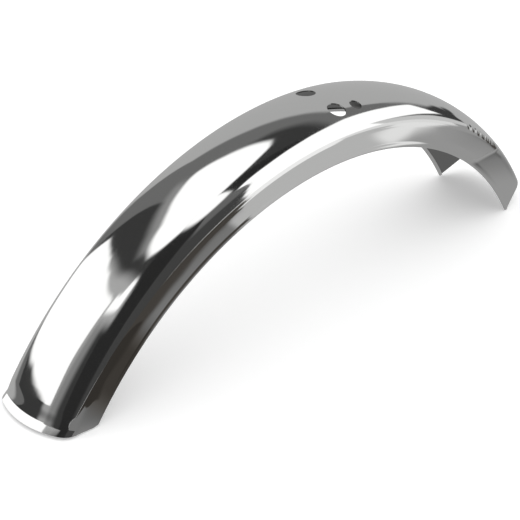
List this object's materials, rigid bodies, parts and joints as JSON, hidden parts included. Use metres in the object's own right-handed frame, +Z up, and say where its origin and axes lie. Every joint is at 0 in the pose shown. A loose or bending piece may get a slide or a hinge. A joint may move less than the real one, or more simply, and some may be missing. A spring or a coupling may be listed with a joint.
{
  "type": "moped rear mudguard",
  "caption": "Arched rear mudguard for a moped: a crowned bright sheet channel with hemmed rims, a flared rear lip, a pressed step with leaning walls at the front, and holes for a bracket.",
  "frame": {"origin": "on the ground, midway between the edge of the lip and the front edge, as the guard stands on its two ends", "axes": "+X towards the front of the moped, +Z up, +Y across to the vehicle's left, the wheel axle along Y"},
  "size_m": [0.5204, 0.0738, 0.1602],
  "materials": {
    "bright_sheet": "mirror-polished sheet with fine rolling lines"
  },
  "bodies": {
    "root": {"mudguard": "bright_sheet"}
  },
  "joints": []
}
